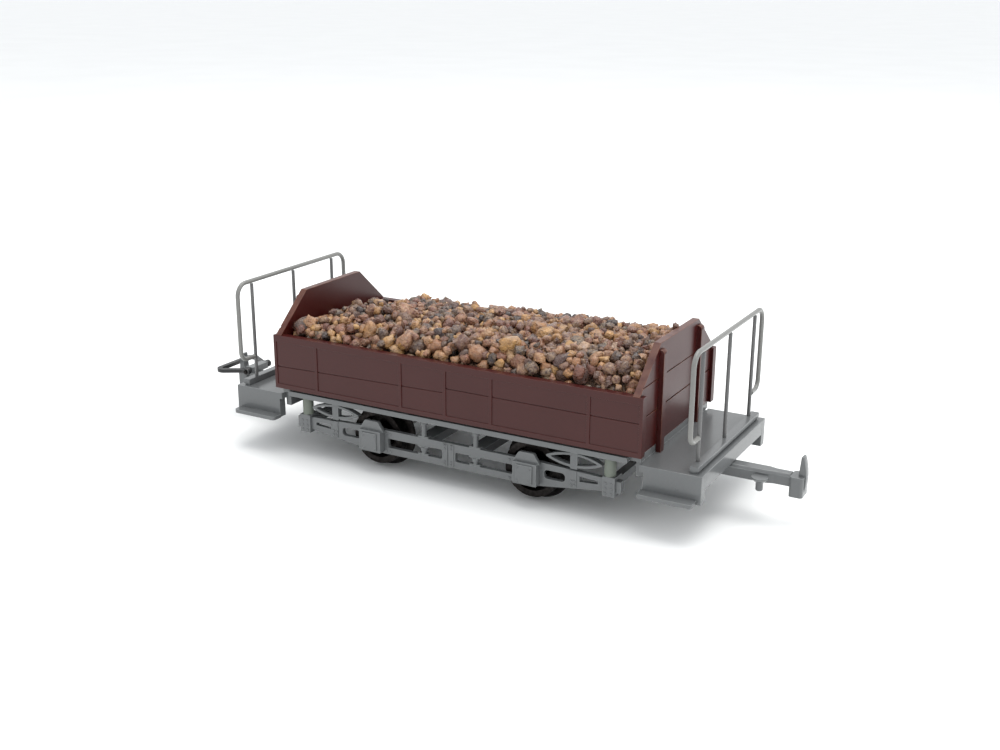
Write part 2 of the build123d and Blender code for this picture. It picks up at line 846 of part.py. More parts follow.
trip_pin_place = drawbar_shoulder - trip_pin_inset
trip_pin_top = drawbar_top - trip_pin_top_drop
trip_pin_waist = drawbar_top - trip_pin_waist_drop
trip_pin_bottom = drawbar_top - trip_pin_drop

# A drawbar swings on a screw under the deck. It is wide up to a shoulder and then a narrow neck,
# with a small funnel-shaped trip pin on its right side.
with BuildPart() as drawbar_front:
    with BuildSketch(Plane.XY.offset(drawbar_bottom)):
        with BuildLine():
            Polyline(
                (drawbar_pivot, -drawbar_half_width),
                (drawbar_shoulder, -drawbar_half_width),
                (drawbar_neck_start, -drawbar_neck_half_width),
                (head_back, -drawbar_neck_half_width),
                (head_back, drawbar_neck_half_width),
                (drawbar_neck_start, drawbar_neck_half_width),
                (drawbar_shoulder, drawbar_half_width),
                (drawbar_pivot, drawbar_half_width),
                close=True,
            )
        make_face()
    extrude(amount=drawbar_thickness)
    long_edges = drawbar_front.faces().sort_by(Axis.Z)[-1].edges().filter_by(Axis.Y, reverse=True)
    chamfer(long_edges, drawbar_edge)
    with BuildSketch(Plane.XY.offset(drawbar_bottom)):
        with Locations((drawbar_pivot, 0)):
            Circle(drawbar_eye_radius)
    extrude(amount=drawbar_thickness)
    with BuildSketch(Plane.XY.offset(drawbar_bottom)):
        with Locations((drawbar_pivot, 0)):
            Circle(screw_radius + running_clearance)
    extrude(amount=drawbar_thickness, mode=Mode.SUBTRACT)
    with BuildSketch(Plane.XZ.offset(trip_pin_offset)):
        with BuildLine():
            Polyline(
                (trip_pin_place, trip_pin_bottom),
                (trip_pin_place + trip_pin_radius * 0.8, trip_pin_bottom),
                (trip_pin_place + trip_pin_radius, trip_pin_bottom + 0.15),
                (trip_pin_place + trip_pin_radius, trip_pin_waist),
                (trip_pin_place + trip_pin_rim_radius, trip_pin_top - 0.2),
                (trip_pin_place + trip_pin_rim_radius, trip_pin_top),
                (trip_pin_place, trip_pin_top),
                close=True,
            )
        make_face()
    revolve(axis=Axis((trip_pin_place, -trip_pin_offset, 0), (0, 0, 1)))
write("drawbar_front", drawbar_front.part)

# The rear drawbar is the same bar with a block on its neck that holds the loop's pin.
loop_block_top = loop_height + loop_eye_radius
with BuildPart() as drawbar_rear:
    add(mirror(drawbar_front.part, about=Plane.YZ))
    with BuildSketch(Plane.XY.offset(drawbar_top)):
        with Locations((-loop_pivot, 0)):
            Rectangle(loop_block_length, 2 * loop_block_half_width)
    extrude(amount=loop_block_top - drawbar_top)
    with BuildSketch(Plane.XZ.offset(loop_block_half_width)):
        with Locations((-loop_pivot, loop_height)):
            Circle(loop_pin_radius)
    extrude(amount=-2 * loop_block_half_width, mode=Mode.SUBTRACT)
write("drawbar_rear", drawbar_rear.part)

head_front = head_back + head_length
head_bottom = drawbar_bottom - head_drop
head_shoulder = drawbar_top - head_shoulder_drop
head_fin_back = head_back + head_fin_inset
head_fin_top = head_fin_back + head_fin_lean
head_top = drawbar_top + head_rise

# The head is a low block with a tall thin fin near its front, which has a bowed outer edge.
with BuildPart() as coupler_head:
    with BuildSketch(Plane.XZ.offset(-head_fin_half_width)):
        with BuildLine():
            Polyline(
                (head_back + 1.5, head_bottom),
                (head_fin_back, head_bottom),
                (head_fin_back, head_shoulder),
                (head_fin_top, head_top),
                (head_fin_top + head_fin_tip, head_top),
            )
            ThreePointArc(
                (head_fin_top + head_fin_tip, head_top),
                (head_front, head_shoulder),
                (head_back + 1.5, head_bottom),
            )
        make_face()
    extrude(amount=2 * head_fin_half_width)
    with BuildSketch(Plane.XY.offset(head_bottom)):
        with Locations((head_back + 0.8, 0)):
            RectangleRounded(1.6, 2 * head_half_width, 0.35)
    extrude(amount=head_shoulder - head_bottom)
write_ends("coupler_head", coupler_head.part)

with BuildPart() as drawbar_screw:
    with BuildSketch(Plane.XY.offset(drawbar_bottom - pivot_gap - screw_head_height)):
        with Locations((drawbar_pivot, 0)):
            Circle(screw_head_radius)
    extrude(amount=screw_head_height)
    with BuildSketch(Plane.XY.offset(drawbar_bottom - pivot_gap)):
        with Locations((drawbar_pivot, 0)):
            Circle(screw_radius)
    extrude(amount=deck_bottom - drawbar_bottom + pivot_gap)
write_ends("drawbar_screw", drawbar_screw.part)

# The loop is a flat bow, wide in front, whose arms close in to two eyes on the pin.
arm_bend = 0.9
loop_front = loop_pivot + loop_reach
with BuildPart() as coupling_loop:
    with BuildSketch(Plane.XY.offset(loop_height - loop_thickness / 2)):
        with BuildLine():
            FilletPolyline(
                (-loop_pivot, -loop_back_half_width),
                (-loop_pivot - arm_bend, -loop_back_half_width),
                (-loop_front, -loop_front_half_width),
                (-loop_front, loop_front_half_width),
                (-loop_pivot - arm_bend, loop_back_half_width),
                (-loop_pivot, loop_back_half_width),
                radius=[loop_corner, loop_corner, loop_corner, loop_corner],
            )
        trace(line_width=loop_bar)
    extrude(amount=loop_thickness)
    for side in (-1, 1):
        with BuildSketch(Plane.XZ.offset(-side * loop_back_half_width - loop_bar / 2)):
            with Locations((-loop_pivot, loop_height)):
                Circle(loop_eye_radius)
        extrude(amount=loop_bar)
    with BuildSketch(Plane.XZ.offset(loop_front_half_width)):
        with Locations((-loop_pivot, loop_height)):
            Circle(loop_pin_radius + running_clearance)
    extrude(amount=-2 * loop_front_half_width, mode=Mode.SUBTRACT)
write("coupling_loop", coupling_loop.part)

loop_pin_half_length = loop_back_half_width + loop_bar / 2 + 0.15
with BuildPart() as loop_pin:
    with BuildSketch(Plane.XZ.offset(loop_pin_half_length)):
        with Locations((-loop_pivot, loop_height)):
            Circle(loop_pin_radius)
    extrude(amount=-2 * loop_pin_half_length)
write("loop_pin", loop_pin.part)
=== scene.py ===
"""Tramway ballast wagon for 16.5 mm track: maroon gravel body on a grey two-axle underframe."""

import json
import random
from math import cos, hypot, pi, radians, sin, sqrt

import bmesh
import bpy
from mathutils import Matrix, Vector, noise

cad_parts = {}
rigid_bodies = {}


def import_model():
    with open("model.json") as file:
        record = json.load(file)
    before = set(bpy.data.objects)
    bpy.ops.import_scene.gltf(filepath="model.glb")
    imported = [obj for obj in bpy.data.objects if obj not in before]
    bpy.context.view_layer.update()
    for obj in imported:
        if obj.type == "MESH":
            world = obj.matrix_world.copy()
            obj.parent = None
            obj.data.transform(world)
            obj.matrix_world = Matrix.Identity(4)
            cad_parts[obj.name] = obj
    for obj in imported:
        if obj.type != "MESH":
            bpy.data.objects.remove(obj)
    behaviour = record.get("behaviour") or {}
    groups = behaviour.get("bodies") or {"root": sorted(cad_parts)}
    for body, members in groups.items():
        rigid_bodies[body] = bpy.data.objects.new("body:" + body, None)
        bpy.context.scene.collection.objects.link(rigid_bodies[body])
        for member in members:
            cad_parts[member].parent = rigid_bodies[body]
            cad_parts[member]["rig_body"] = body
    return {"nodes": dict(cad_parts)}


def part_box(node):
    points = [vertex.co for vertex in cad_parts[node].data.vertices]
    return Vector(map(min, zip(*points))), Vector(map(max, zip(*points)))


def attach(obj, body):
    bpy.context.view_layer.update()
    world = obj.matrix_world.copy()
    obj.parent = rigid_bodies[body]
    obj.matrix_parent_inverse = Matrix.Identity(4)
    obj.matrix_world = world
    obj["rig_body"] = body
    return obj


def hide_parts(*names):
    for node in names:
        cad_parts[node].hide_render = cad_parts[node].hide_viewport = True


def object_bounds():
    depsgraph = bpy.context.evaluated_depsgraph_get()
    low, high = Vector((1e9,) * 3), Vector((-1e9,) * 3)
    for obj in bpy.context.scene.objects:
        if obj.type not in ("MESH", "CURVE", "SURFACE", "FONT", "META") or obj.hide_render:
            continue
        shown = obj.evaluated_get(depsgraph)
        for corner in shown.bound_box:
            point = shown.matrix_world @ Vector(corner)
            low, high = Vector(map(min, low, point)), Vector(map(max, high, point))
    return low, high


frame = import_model()
cad_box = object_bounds()

# ======== The studio ========
# A wide pale table under an even white sky, with one large soft lamp overhead and a weaker one
# beyond the front end, as for a catalogue picture.

MM = 0.001
studio = bpy.context.scene
studio.view_settings.view_transform = "Standard"

sky = bpy.data.worlds.new("sky")
sky.use_nodes = True
overcast = sky.node_tree.nodes["Background"].inputs
overcast["Color"].default_value = (0.97, 0.985, 1.0, 1)
overcast["Strength"].default_value = 1.05
studio.world = sky

lamp_white = (1.0, 0.99, 0.97)
lamp_target = Vector((0, 0, 8 * MM))


def lamp(name, place, size, power):
    """A square soft lamp, its place and size in millimetres, turned towards the middle of the wagon."""
    light = bpy.data.lights.new(name, "AREA")
    light.shape = "SQUARE"
    light.size = size * MM
    light.energy = power
    light.color = lamp_white
    made = bpy.data.objects.new(name, light)
    made.location = Vector(place) * MM
    aim = lamp_target - made.location
    made.rotation_euler = aim.to_track_quat("-Z", "Y").to_euler()
    studio.collection.objects.link(made)


lamp("overhead_lamp", place=(20, 60, 340), size=300, power=0.95)
lamp("front_lamp", place=(330, 40, 170), size=200, power=0.18)

# The view is from the right front corner, a little above the load.
view_place = (73.663, -130.349, 58.812)
view_turn = radians(29.079)
view_height = radians(17.871)
view_roll = radians(0.201)
camera = bpy.data.objects.new("camera", bpy.data.cameras.new("camera"))
camera.data.sensor_width = 36
camera.data.lens = 45.42
camera.data.clip_start = 1 * MM
camera.data.clip_end = 5
camera.location = Vector(view_place) * MM
camera_back = Vector((
    sin(view_turn) * cos(view_height),
    -cos(view_turn) * cos(view_height),
    sin(view_height),
))
upright = (-camera_back).to_track_quat("-Z", "Y").to_matrix()
camera.rotation_euler = (upright @ Matrix.Rotation(view_roll, 3, "Z")).to_euler()
studio.collection.objects.link(camera)
studio.camera = camera


class Wire:
    """One output socket of a material; sums written on it add Math nodes."""

    def __init__(self, tree, socket=None):
        self.tree = tree
        self.socket = socket

    def node(self, kind, settings=None, inputs=None, pick=0):
        """Add a node, make its settings, set or link its inputs and return one of its outputs."""
        made = self.tree.nodes.new("ShaderNode" + kind)
        for name, value in (settings or {}).items():
            if name == "stops":
                ramp = made.color_ramp
                ramp.elements[0].position = value[0][0]
                ramp.elements[1].position = value[-1][0]
                for place, _ in value[1:-1]:
                    ramp.elements.new(place)
                for element, (_, shade) in zip(ramp.elements, value):
                    element.color = (*shade, 1)
            else:
                setattr(made, name, value)
        for name, value in (inputs or {}).items():
            if isinstance(value, Wire):
                self.tree.links.new(value.socket, made.inputs[name])
            else:
                made.inputs[name].default_value = value
        return Wire(self.tree, made.outputs[pick]) if made.outputs else None

    def sum(self, operation, first, second):
        """The result of one Math node on two wires or numbers."""
        return self.node("Math", {"operation": operation}, {0: first, 1: second})

    def __add__(self, other):
        return self.sum("ADD", self, other)

    def __mul__(self, other):
        return self.sum("MULTIPLY", self, other)

    __radd__ = __add__
    __rmul__ = __mul__

    def spots(self, size, detail=2.0, low=0.35, high=0.65):
        """A noise in grains of about size millimetres, its middle part stretched from 0 to 1."""
        place = self.node("TexCoord", pick="Object")
        settings = {"Vector": place, "Scale": 1 / (size * MM), "Detail": detail}
        grain = self.node("TexNoise", {}, settings)
        return self.node("MapRange", {}, {"Value": grain, "From Min": low, "From Max": high})

    def blend(self, share, first, second):
        """A colour between two, each a wire or a plain colour, by a share from 0 to 1."""
        ends = [end if isinstance(end, Wire) else (*end, 1) for end in (first, second)]
        return self.node("Mix", {"data_type": "RGBA"}, {0: share, 6: ends[0], 7: ends[1]}, 2)


def colour(red, green, blue):
    """A colour given as eye-level values from 0 to 255, as the shader's own numbers."""
    levels = (value / 255 for value in (red, green, blue))
    return tuple(v / 12.92 if v < 0.04045 else ((v + 0.055) / 1.055) ** 2.4 for v in levels)


def new_finish(name):
    """An empty material and the wire that its nodes start from."""
    made = bpy.data.materials.new(name)
    made.use_nodes = True
    made.node_tree.nodes.clear()
    return made, Wire(made.node_tree)


def close_finish(wire, inputs, height=None, depth=0.01):
    """Join a surface to the material's output, with relief of the given depth in millimetres."""
    if height is not None:
        relief = {"Height": height, "Distance": depth * MM, "Strength": 1.0}
        inputs = {**inputs, "Normal": wire.node("Bump", {}, relief)}
    surface = wire.node("BsdfPrincipled", {}, inputs)
    wire.node("OutputMaterial", {}, {"Surface": surface})


pale_board, wire = new_finish("pale_table")
tone = wire.blend(wire.spots(40), colour(243, 244, 244), colour(245, 246, 246))
close_finish(wire, {"Base Color": tone, "Roughness": 0.9, "Specular IOR Level": 0.1})

table_reach = 6
bm = bmesh.new()
bmesh.ops.create_grid(bm, x_segments=1, y_segments=1, size=table_reach)
bmesh.ops.translate(bm, verts=bm.verts, vec=(0, 0, cad_box[0].z))
table_mesh = bpy.data.meshes.new("table")
bm.to_mesh(table_mesh)
bm.free()
table_mesh.materials.append(pale_board)
table = bpy.data.objects.new("table", table_mesh)
studio.collection.objects.link(table)

# ======== Side boards, end boards and floor ========
# The body is four boards moulded in maroon plastic and glued round a floor of the same plastic.
# Their edges are slightly rounded and paler, from wear and a painted highlight. The upward faces
# of the end boards are paler still, from wear and painted light from above.


def moulded_finish(name, body, dark, worn_and_lit_edge, roughness, shine=0.45):
    """Moulded plastic: slightly cloudy colour, fine orange-peel relief and paler edges, partly wear and
    partly painted highlight.
    """
    made, wire = new_finish(name)
    clouds = wire.spots(9, low=0.3, high=0.7)
    specks = wire.spots(0.3, low=0.3, high=0.7)
    edge_patches = wire.spots(1.1, detail=4, low=0.25, high=0.6)
    edge = wire.node("Attribute", {"attribute_name": "edge"}, pick="Fac")
    tone = wire.blend(clouds * 0.6 + specks * 0.4, body, dark)
    # Rounded edges and marked upward faces turn paler in patches: wear, and a painted highlight where
    # light catches them.
    tone = wire.blend(edge * edge_patches * 0.75, tone, worn_and_lit_edge)
    gloss = roughness + 0.06 * clouds + 0.02 * specks
    surface = {"Base Color": tone, "Roughness": gloss, "Specular IOR Level": shine}
    close_finish(wire, surface, specks, 0.0006)
    return made


def add_piece(name, bm, material, body, crease=32):
    """Turn a mesh under work into a finished piece that rides on a body of the wagon.

    Edges that turn more than crease degrees stay sharp.
    """
    mesh = bpy.data.meshes.new(name)
    bm.to_mesh(mesh)
    bm.free()
    for face in mesh.polygons:
        face.use_smooth = True
    mesh.set_sharp_from_angle(angle=radians(crease))
    mesh.materials.append(material)
    made = bpy.data.objects.new(name, mesh)
    studio.collection.objects.link(made)
    flatter = made.modifiers.new("flat_faces", "WEIGHTED_NORMAL")
    flatter.keep_sharp = True
    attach(made, body)
    return made


# A copied mesh is merged within merge_reach and its flat faces are joined. Edges that turn more
# than corner_turn are rounded, and faces whose normal rises more than upward count as upper ones.
merge_reach = 0.001
flat_turn = radians(0.5)
corner_turn = radians(35)
upward = 0.35


def moulding(node, rounding, material, top_light_and_wear=0.0):
    """A copy of a piece with its outer edges rounded, as it comes out of the moulding tool.

    top_light_and_wear is how far its upward faces are made paler, by wear and painted light from above,
    from 0 to 1.
    """
    source = frame["nodes"][node]
    bm = bmesh.new()
    bm.from_mesh(source.data)
    bmesh.ops.remove_doubles(bm, verts=bm.verts, dist=merge_reach * MM)
    bmesh.ops.dissolve_limit(bm, angle_limit=flat_turn, verts=bm.verts, edges=bm.edges)
    wear_and_highlight = bm.faces.layers.float.new("edge")
    corners = [
        edge for edge in bm.edges
        if len(edge.link_faces) == 2 and edge.is_convex and edge.calc_face_angle() > corner_turn
    ]
    rounded = bmesh.ops.bevel(
        bm, geom=corners, affect="EDGES", offset=rounding * MM, offset_type="OFFSET",
        segments=2, profile=0.5, material=-1, clamp_overlap=False,
    )
    # The rounded faces take the paler edge colour: wear and a painted highlight.
    for face in rounded["faces"]:
        face[wear_and_highlight] = 1.0
    # Upward faces are made paler too: painted light from above, with wear.
    for face in bm.faces:
        if face.normal.z > upward:
            face[wear_and_highlight] = max(face[wear_and_highlight], top_light_and_wear)
    made = add_piece(node + "_moulding", bm, material, source["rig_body"])
    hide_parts(node)
    return made


# The third colour of each moulded finish is its paler edge colour, for wear and a painted highlight.
maroon_body = colour(61, 14, 11)
maroon_dark = colour(56, 13, 10)
maroon = moulded_finish("maroon_plastic", maroon_body, maroon_dark, colour(74, 30, 25), 0.3, 0.37)
# The end boards' upward faces also take the pale colour: painted light from above, with wear.
rubbed_and_top_lit_maroon = moulded_finish(
    "rubbed_maroon_plastic", maroon_body, maroon_dark, colour(116, 78, 62), 0.3, 0.37,
)
for node in ("side_board_left", "side_board_right"):
    moulding(node, 0.05, maroon)
for node in ("end_board_front", "end_board_rear"):
    moulding(node, 0.05, rubbed_and_top_lit_maroon, top_light_and_wear=0.55)
moulding("wagon_floor", 0.03, maroon)

# ======== Load board and weight ========
# A plain steel weight lies on the floor and gives the light wagon its grip on the track. A sheet of
# brown card glued in over it carries the gravel.


def metal_finish(name, body, dark, roughness, streak):
    """Turned or plated metal, with fine machining marks of about streak millimetres."""
    made, wire = new_finish(name)
    marks = wire.spots(streak, detail=3)
    tone = wire.blend(marks, body, dark)
    gloss = roughness + 0.15 * marks
    close_finish(wire, {"Base Color": tone, "Metallic": 1.0, "Roughness": gloss}, marks, 0.003)
    return made


bright_steel = metal_finish("bright_steel", colour(190, 188, 184), colour(150, 148, 145), 0.28, 0.25)
moulding("ballast_weight", 0.03, bright_steel)

card_brown, wire = new_finish("brown_card")
tone = wire.blend(wire.spots(0.5, detail=4), colour(96, 76, 58), colour(74, 58, 45))
close_finish(wire, {"Base Color": tone, "Roughness": 0.9}, wire.spots(0.15), 0.01)
frame["nodes"]["load_board"].data.materials.clear()
frame["nodes"]["load_board"].data.materials.append(card_brown)

# ======== Gravel ========
# The gravel is real stone chippings, poured on the card and held with clear glue, so the stones lie
# loosely in a low heap and shine a little.

# The heap rises steeply from the side boards over its shoulders, then gently to the crown. At the
# ends it drops again over a short run. All in millimetres.
heap_low, heap_high = (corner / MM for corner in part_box("gravel_load"))
heap_crown = heap_high.z
heap_peak = heap_crown + 0.3
edge_depth = 2.2
shoulder_width = 2.2
shoulder_rise = 2.0
crown_run = 3.6
crown_rise = 0.5
rear_run = 3.6
rear_drop = 2.2
front_run = 2.5
front_drop = 1.1

# The load is scooped out beside the left half of the rear board, and it sinks a little
# towards the rear.
scoop_length = 8.5
scoop_fade = 2.5
scoop_depth = 1.9
scoop_start = 2.0
scoop_slope = 5.5
sinking_depth = 0.75
sinking_start = 9
sinking_run = 14
broad_lump = 5
small_lump = 1.8


def rise(distance, run):
    """How far a slope of the given run has risen at a distance along it, from 0 to 1."""
    return min(max(distance / run, 0), 1)


def heap_top(x, y):
    """Height of the heap's surface in millimetres: flat along the middle, lower round the edge."""
    side = heap_high.y - abs(y)
    shoulder = rise(side, shoulder_width) * shoulder_rise
    across = heap_crown - edge_depth + shoulder + rise(side - shoulder_width, crown_run) * crown_rise
    rear = heap_peak - rear_drop * max(1 - (x - heap_low.x) / rear_run, 0)
    front = heap_peak - front_drop * max(1 - (heap_high.x - x) / front_run, 0)

    along = rise(heap_low.x + scoop_length - x, scoop_fade) * min((x - heap_low.x) / 1.5 + 0.35, 1)
    scoop = scoop_depth * rise(y - scoop_start, scoop_slope) * along
    sinking = sinking_depth * rise(sinking_start - x, sinking_run) * min(side / 4, 1)
    broad = 0.3 * noise.noise(Vector((x / broad_lump, y / broad_lump, 0.3)))
    small = 0.25 * noise.noise(Vector((x / small_lump, y / small_lump, 4.3)))
    return min(across, rear, front) - sinking - scoop + (broad + small)


# The bed under the stones: small grit and glue that shows dark between them.
bed_depth = 1.35
bed_columns = 95
bed_rows = 41
grit_height = 0.3
grit_pitch = 1.1
bm = bmesh.new()
bmesh.ops.create_grid(bm, x_segments=bed_columns, y_segments=bed_rows, size=1)
bmesh.ops.scale(bm, verts=bm.verts, vec=(heap_high.x * MM, heap_high.y * MM, 1))
grown = bmesh.ops.extrude_face_region(bm, geom=bm.faces[:], use_keep_orig=True)
upper = [v for v in grown["geom"] if isinstance(v, bmesh.types.BMVert)]
bmesh.ops.translate(bm, verts=bm.verts, vec=(0, 0, heap_low.z * MM))
for vert in upper:
    x = vert.co.x / MM
    y = vert.co.y / MM
    grit = grit_height * noise.noise(Vector((x * grit_pitch, y * grit_pitch, 2.0)))
    vert.co.z = (heap_top(x, y) - bed_depth + grit) * MM
bmesh.ops.recalc_face_normals(bm, faces=bm.faces)

grit_brown, wire = new_finish("glued_grit")
tone = wire.blend(wire.spots(0.4, detail=4), colour(58, 40, 33), colour(104, 78, 60))
close_finish(wire, {"Base Color": tone, "Roughness": 0.45}, wire.spots(0.25, detail=3), 0.12)
gravel_bed = add_piece("gravel_bed", bm, grit_brown, "wagon", crease=60)
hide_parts("gravel_load")

# Stones: a few worn shapes, each used many times in another size, turn and colour.
chance = random.Random(16)
roundness = 0.8
shapes = 18
stone_shapes = []
for shape in range(shapes):
    bm = bmesh.new()
    bmesh.ops.create_cube(bm, size=2)
    bmesh.ops.subdivide_edges(bm, edges=bm.edges, cuts=2, use_grid_fill=True)
    shift = Vector((chance.uniform(-9, 9), chance.uniform(-9, 9), shape * 7))
    for vert in bm.verts:
        vert.co = vert.co.lerp(vert.co.normalized(), roundness)
        lump = noise.noise(vert.co * 1.2 + shift) * 0.42 + noise.noise(vert.co * 2.4 + shift) * 0.28
        vert.co *= 0.96 + lump
    mesh = bpy.data.meshes.new("stone_shape")
    bm.to_mesh(mesh)
    bm.free()
    # Per-stone random values: one picks the stone's colour, one how strongly it takes the painted glint
    # spots.
    mesh.attributes.new("stone", "FLOAT", "POINT")
    mesh.attributes.new("pale", "FLOAT", "POINT")
    stone_shapes.append(mesh)

# The stones are poured one by one. Each drops on what lies below it, rolls a few times to a lower
# place and is left out if it would stand too far above the heap. Lumpy stones nest closer than balls
# and settle a little. The heap is kept in square cells, so that only near neighbours are searched.
pours = 7000
rolls = 5
roll_length = 0.45
stone_radius = 0.7
radius_spread = 0.22
smallest_radius = 0.36
largest_radius = 1.15
lowest_layer = 1.75
nesting = 0.8
settling = 0.92
standing_out = (-0.15, 0.7)
cell = 2
cells = {}
stones = []


def resting_height(x, y, radius):
    """Height at which a stone poured at a place comes to rest on the grit or the stones below it."""
    height = heap_top(x, y) - lowest_layer + radius
    for column in range(int(x // cell) - 1, int(x // cell) + 2):
        for row in range(int(y // cell) - 1, int(y // cell) + 2):
            for stone_x, stone_y, stone_z, other in cells.get((column, row), ()):
                reach = (radius + other) * nesting
                gap = hypot(x - stone_x, y - stone_y)
                if gap < reach:
                    height = max(height, stone_z + sqrt(reach * reach - gap * gap) * settling)
    return height


def between_boards(x, y, margin):
    """The place, moved if need be to lie a margin or more inside the boards."""
    return (
        min(max(x, heap_low.x + margin), heap_high.x - margin),
        min(max(y, heap_low.y + margin), heap_high.y - margin),
    )


for _ in range(pours):
    radius = min(max(chance.gauss(stone_radius, radius_spread), smallest_radius), largest_radius)
    x = chance.uniform(heap_low.x + radius, heap_high.x - radius)
    y = chance.uniform(heap_low.y + radius, heap_high.y - radius)
    height = resting_height(x, y, radius)
    for _ in range(rolls):
        turn = chance.uniform(0, 2 * pi)
        aside_x = x + roll_length * cos(turn)
        aside_y = y + roll_length * sin(turn)
        next_x, next_y = between_boards(aside_x, aside_y, radius)
        lower = resting_height(next_x, next_y, radius)
        if lower < height:
            x, y, height = next_x, next_y, lower
    if height + 0.35 * radius > heap_top(x, y) + chance.uniform(*standing_out):
        continue
    cells.setdefault((int(x // cell), int(y // cell)), []).append((x, y, height, radius))
    stones.append((x, y, height, radius))

# One big pebble in the right rear corner, a stone caught on the top edge of the front end board, and
# chips that the glue has stuck to the larger stones.
chipped_radius = 0.6
chipped_share = 0.55
front_board_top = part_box("end_board_front")[1].z / MM
big_pebble = (heap_low.x + 1.45, heap_low.y + 1.4, heap_crown - 1.3, 1.1)
caught_stone = (heap_high.x - 0.25, 1.25, front_board_top, 0.45)
poured = list(stones)
stones += [big_pebble, caught_stone]
for x, y, height, radius in poured:
    if radius > chipped_radius and chance.random() < chipped_share:
        turn = chance.uniform(0, 2 * pi)
        chip = radius * chance.uniform(0.45, 0.62)
        chip_height = height + radius * chance.uniform(0.1, 0.6)
        away = 0.8 * radius
        chip_x, chip_y = between_boards(x + away * cos(turn), y + away * sin(turn), chip)
        stones.append((chip_x, chip_y, chip_height, chip))

bm = bmesh.new()
for x, y, height, radius in stones:
    stone = chance.choice(stone_shapes).copy()
    stretch = (chance.uniform(0.8, 1.3), chance.uniform(0.8, 1.2), chance.uniform(0.7, 1.0))
    angle = chance.uniform(0, 2 * pi)
    axis = Vector((chance.gauss(0, 1), chance.gauss(0, 1), 1.0))
    size = Matrix.Diagonal((*(radius * MM * side for side in stretch), 1))
    place = Matrix.Translation(Vector((x, y, height)) * MM)
    stone.transform(place @ Matrix.Rotation(angle, 4, axis) @ size)
    stone.attributes["stone"].data.foreach_set("value", [chance.random()] * len(stone.vertices))
    stone.attributes["pale"].data.foreach_set("value", [chance.random()] * len(stone.vertices))
    bm.from_mesh(stone)
    bpy.data.meshes.remove(stone)

pebble, wire = new_finish("pebbles")
kind = wire.node("Attribute", {"attribute_name": "stone"}, pick="Fac")
pale = wire.node("Attribute", {"attribute_name": "pale"}, pick="Fac")
stone_colours = [
    (0.0, colour(34, 30, 34)),
    (0.14, colour(48, 39, 39)),
    (0.28, colour(84, 56, 48)),
    (0.45, colour(116, 72, 60)),
    (0.6, colour(142, 94, 72)),
    (0.75, colour(160, 110, 72)),
    (0.88, colour(190, 144, 84)),
    (0.96, colour(170, 138, 118)),
    (1.0, colour(204, 186, 170)),
]
patch = wire.spots(3.2, low=0.3, high=0.7)
base = wire.node("ValToRGB", {"stops": stone_colours}, {"Fac": kind * 0.86 + patch * 0.14})
veins = wire.spots(0.7, detail=4)
tone = wire.blend(veins * 0.5, base, colour(74, 46, 41))
# Pale yellowish spots on some stones are painted glints of the glossy glue.
tone = wire.blend(pale * wire.spots(0.45, detail=3) * 0.4, tone, colour(214, 178, 134))
gloss = 0.2 + 0.25 * wire.spots(0.9)
glued_stone = {"Base Color": tone, "Roughness": gloss, "Coat Weight": 0.35, "Coat Roughness": 0.15}
close_finish(wire, glued_stone, wire.spots(0.32, detail=4) + 0.6 * veins, 0.13)
add_piece("gravel_stones", bm, pebble, "wagon", crease=75)

# ======== Underframe and truck ========
# The plate, its sills and the two-axle truck are moulded in one satin grey plastic, glued together
# and held to the body by two screws. Rows of small rivet heads stand on the truck's sides.

# Its third colour is the paler edge colour: wear and a painted highlight.
grey = moulded_finish(
    "grey_plastic", colour(103, 105, 106), colour(97, 99, 100), colour(127, 130, 130), 0.17,
)
for node in (
    "underframe_plate", "sill_left", "sill_right", "truck_frame_left", "truck_frame_right",
    "axle_boxes_left", "axle_boxes_right", "leaf_springs_left", "leaf_springs_right",
    "tie_bolts_left", "tie_bolts_right", "truck_transom_front", "truck_transom_rear",
    "truck_end_bar_front", "truck_end_bar_rear",
):
    moulding(node, 0.05, grey)
moulding("body_screws", 0.03, bright_steel)


rivet_lift = 0.02


def rivets(name, places, radius, body):
    """Low round rivet heads; each place is x, y, z in millimetres on a face that looks along y."""
    bm = bmesh.new()
    for x, y, z in places:
        outward = 1 if y > 0 else -1
        stand = Matrix.Translation(Vector((x, y + outward * rivet_lift, z)) * MM)
        stand = stand @ Matrix.Rotation(-outward * pi / 2, 4, "X")
        bmesh.ops.create_cone(
            bm, cap_ends=True, segments=8, radius1=radius * MM, radius2=radius * 0.6 * MM,
            depth=radius * 0.7 * MM, matrix=stand,
        )
    return add_piece(name, bm, grey, body, crease=50)


# Rows of rivets on the end blocks, the straps, the centre posts, the chords by the boxes and the box
# covers: places along the frame, the face they stand on and heights above the rails.
block_end, block_face = (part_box("truck_frame_left")[1] / MM).xy
frame_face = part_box("axle_boxes_left")[0].y / MM
cover_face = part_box("axle_boxes_left")[1].y / MM
strap_face = frame_face + 0.12
strap_place = block_end - 5.85
axle_place = sum(corner.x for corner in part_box("axle_front")) / 2 / MM
rivet_rows = (
    ((block_end - 1.7, block_end - 1.0), block_face, (3.0, 3.6, 4.2)),
    ((strap_place - 0.2, strap_place + 0.2), strap_face, (3.0, 3.5)),
    ((0.45,), strap_face, (2.2, 2.6, 4.2, 4.6)),
    ((axle_place - 2.45, axle_place - 1.9), frame_face, (4.5, 2.25)),
    ((axle_place - 0.8, axle_place + 0.8), cover_face, (2.65, 4.35)),
)
quarter = [(x, face, z) for row, face, heights in rivet_rows for x in row for z in heights]
for name, side in (("right_rivets", -1), ("left_rivets", 1)):
    places = [(end * x, side * face, z) for end in (-1, 1) for x, face, z in quarter]
    rivets(name, places, 0.21, "wagon")

